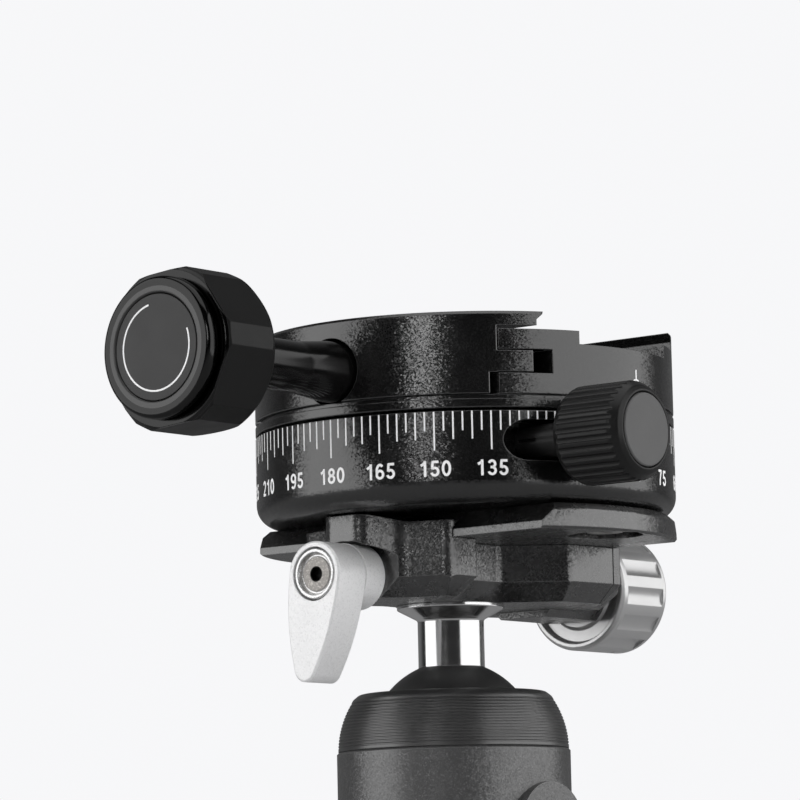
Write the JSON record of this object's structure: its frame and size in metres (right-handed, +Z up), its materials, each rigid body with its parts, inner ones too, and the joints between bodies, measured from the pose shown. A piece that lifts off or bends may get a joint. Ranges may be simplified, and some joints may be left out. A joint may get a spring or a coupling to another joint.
{
  "type": "panoramic tripod head",
  "caption": "Ball head with a lever clamp that carries a panning rotator: a degree ring below and a screw-locked dovetail clamp on top.",
  "frame": {"origin": "centre of the tripod thread's mouth on the underside of the base, on the ball head's axis", "axes": "+Z up along the ball head's axis; X along both dovetails, the rotator's axis lies 4 mm towards +X; Y across the dovetails, the top lock knob points to -Y and the lower tension knob to +Y"},
  "size_m": [0.0867, 0.1287, 0.1207],
  "materials": {
    "rotator_black": "fine-grained black anodised, satin",
    "clamp_grey": "bead-blasted dark grey anodised",
    "housing_grey": "bead-blasted dark grey anodised",
    "collar_black": "turned and grooved, dark anodised",
    "satin_silver": "bead-blasted silver",
    "turned_silver": "turned satin silver",
    "stem_steel": "polished steel",
    "screw_steel": "stainless steel",
    "ball_dark": "dark hard anodised, satin",
    "knob_black": "satin black moulding",
    "disc_grey": "dark grey satin disc",
    "knob_face_grey": "grey satin face",
    "liner_white": "low-friction plastic",
    "seal_rubber": "black rubber",
    "bearing_steel": "ground steel balls",
    "cage_brass": "plain brass"
  },
  "bodies": {
    "base": {"base_disc": "housing_grey", "thread_insert": "screw_steel", "base_washer": "liner_white", "base_ring_nut": "screw_steel"},
    "housing": {"housing": "housing_grey", "collar": "collar_black", "collar_liner": "liner_white", "cup_o_ring": "seal_rubber", "ball_lock_bush": "cage_brass"},
    "base_knob": {"base_lock_knob": "knob_black", "base_lock_screw": "screw_steel"},
    "base_shoe": {"base_brake_shoe": "cage_brass"},
    "ball_lock": {"ball_lock_knob": "knob_black", "ball_lock_disc": "disc_grey", "ball_lock_screw": "screw_steel"},
    "wedge": {"lock_wedge": "screw_steel"},
    "piston": {"lift_piston": "screw_steel"},
    "ball_seat": {"ball_cup": "liner_white"},
    "ball": {"ball": "ball_dark", "stem": "stem_steel", "clamp_screw": "screw_steel", "lower_clamp_body": "clamp_grey", "guide_pins": "screw_steel", "clamp_springs": "screw_steel"},
    "lever": {"lever": "satin_silver", "lever_hub": "satin_silver", "lever_screw": "screw_steel"},
    "lower_jaw": {"lower_clamp_jaw": "clamp_grey", "draw_yoke": "screw_steel"},
    "tension_knob": {"tension_knob": "turned_silver"},
    "plate": {"dovetail_plate": "clamp_grey", "plate_screws": "screw_steel", "scale_ring": "rotator_black", "brake_band": "cage_brass"},
    "bearing": {"bearing_balls": "bearing_steel", "bearing_cage": "cage_brass"},
    "pan_knob": {"pan_lock_knob": "knob_black", "pan_lock_cap": "knob_face_grey", "pan_lock_stem": "rotator_black"},
    "rotor": {"rotor": "rotator_black", "retainer_washer": "screw_steel", "retainer_screw": "screw_steel", "top_jaw_springs": "screw_steel"},
    "top_jaw": {"top_jaw": "rotator_black"},
    "top_knob": {"top_lock_shaft": "knob_black", "top_lock_collar": "screw_steel", "top_lock_knob": "knob_black", "top_lock_disc": "disc_grey"}
  },
  "joints": [
    {"name": "base_pan", "type": "hinge", "parent": "base", "child": "housing", "pos_m": [0, 0, 0.0069], "axis": [0, 0, 1], "continuous": true},
    {"name": "base_pan_knob_turn", "type": "hinge", "parent": "housing", "child": "base_knob", "pos_m": [-0.027, 0, 0.0094], "axis": [-1, 0, 0], "range_deg": [0, 110]},
    {"name": "base_shoe_slide", "type": "slide", "parent": "housing", "child": "base_shoe", "axis": [1, 0, 0], "range_m": [0, 0.00022]},
    {"name": "ball_lock_turn", "type": "hinge", "parent": "housing", "child": "ball_lock", "pos_m": [0.03, 0, 0.024], "axis": [1, 0, 0], "range_deg": [0, 270]},
    {"name": "wedge_slide", "type": "slide", "parent": "housing", "child": "wedge", "axis": [-1, 0, 0], "range_m": [0, 0.00075]},
    {"name": "piston_lift", "type": "slide", "parent": "housing", "child": "piston", "axis": [0, 0, 1], "range_m": [0, 0.000273]},
    {"name": "ball_swivel", "type": "hinge", "parent": "housing", "child": "ball_seat", "pos_m": [0, 0, 0.04715], "axis": [0, 0, 1], "continuous": true},
    {"name": "ball_tilt", "type": "hinge", "parent": "ball_seat", "child": "ball", "pos_m": [0, 0, 0.04715], "axis": [0, 1, 0], "range_deg": [-30, 30]},
    {"name": "lever_swing", "type": "hinge", "parent": "ball", "child": "lever", "pos_m": [0, -0.03, 0.0746], "axis": [0, -1, 0], "range_deg": [0, 115]},
    {"name": "lower_jaw_slide", "type": "slide", "parent": "ball", "child": "lower_jaw", "axis": [0, 1, 0], "range_m": [0, 0.0015]},
    {"name": "tension_turn", "type": "hinge", "parent": "lower_jaw", "child": "tension_knob", "pos_m": [0, 0.043, 0.0755], "axis": [0, 1, 0], "range_deg": [-180, 180]},
    {"name": "plate_slide", "type": "slide", "parent": "ball", "child": "plate", "axis": [1, 0, 0], "range_m": [-0.015, 0.011]},
    {"name": "rotor_pan", "type": "hinge", "parent": "plate", "child": "rotor", "pos_m": [0.004, 0, 0.1], "axis": [0, 0, 1], "continuous": true},
    {"name": "bearing_roll", "type": "hinge", "parent": "plate", "child": "bearing", "pos_m": [0.004, 0, 0.0993], "axis": [0, 0, 1], "continuous": true},
    {"name": "pan_lock_turn", "type": "hinge", "parent": "plate", "child": "pan_knob", "pos_m": [0.045, -0.017, 0.0951], "axis": [1, 0, 0], "range_deg": [0, 90]},
    {"name": "top_jaw_slide", "type": "slide", "parent": "rotor", "child": "top_jaw", "axis": [0, -1, 0], "range_m": [0, 0.003]},
    {"name": "top_lock_turn", "type": "hinge", "parent": "top_jaw", "child": "top_knob", "pos_m": [0.004, -0.06, 0.1079], "axis": [0, -1, 0], "range_deg": [0, 1080]}
  ],
  "couplings": [
    {"joint": "base_pan_knob_turn", "follows": "base_shoe_slide", "rad_per_m": 8726.6},
    {"joint": "ball_lock_turn", "follows": "wedge_slide", "rad_per_m": 6283.1},
    {"joint": "piston_lift", "follows": "wedge_slide", "ratio": 0.36397},
    {"joint": "lever_swing", "follows": "lower_jaw_slide", "rad_per_m": 1338},
    {"joint": "bearing_roll", "follows": "rotor_pan", "ratio": 0.5},
    {"joint": "top_lock_turn", "follows": "top_jaw_slide", "rad_per_m": 6283.1}
  ]
}
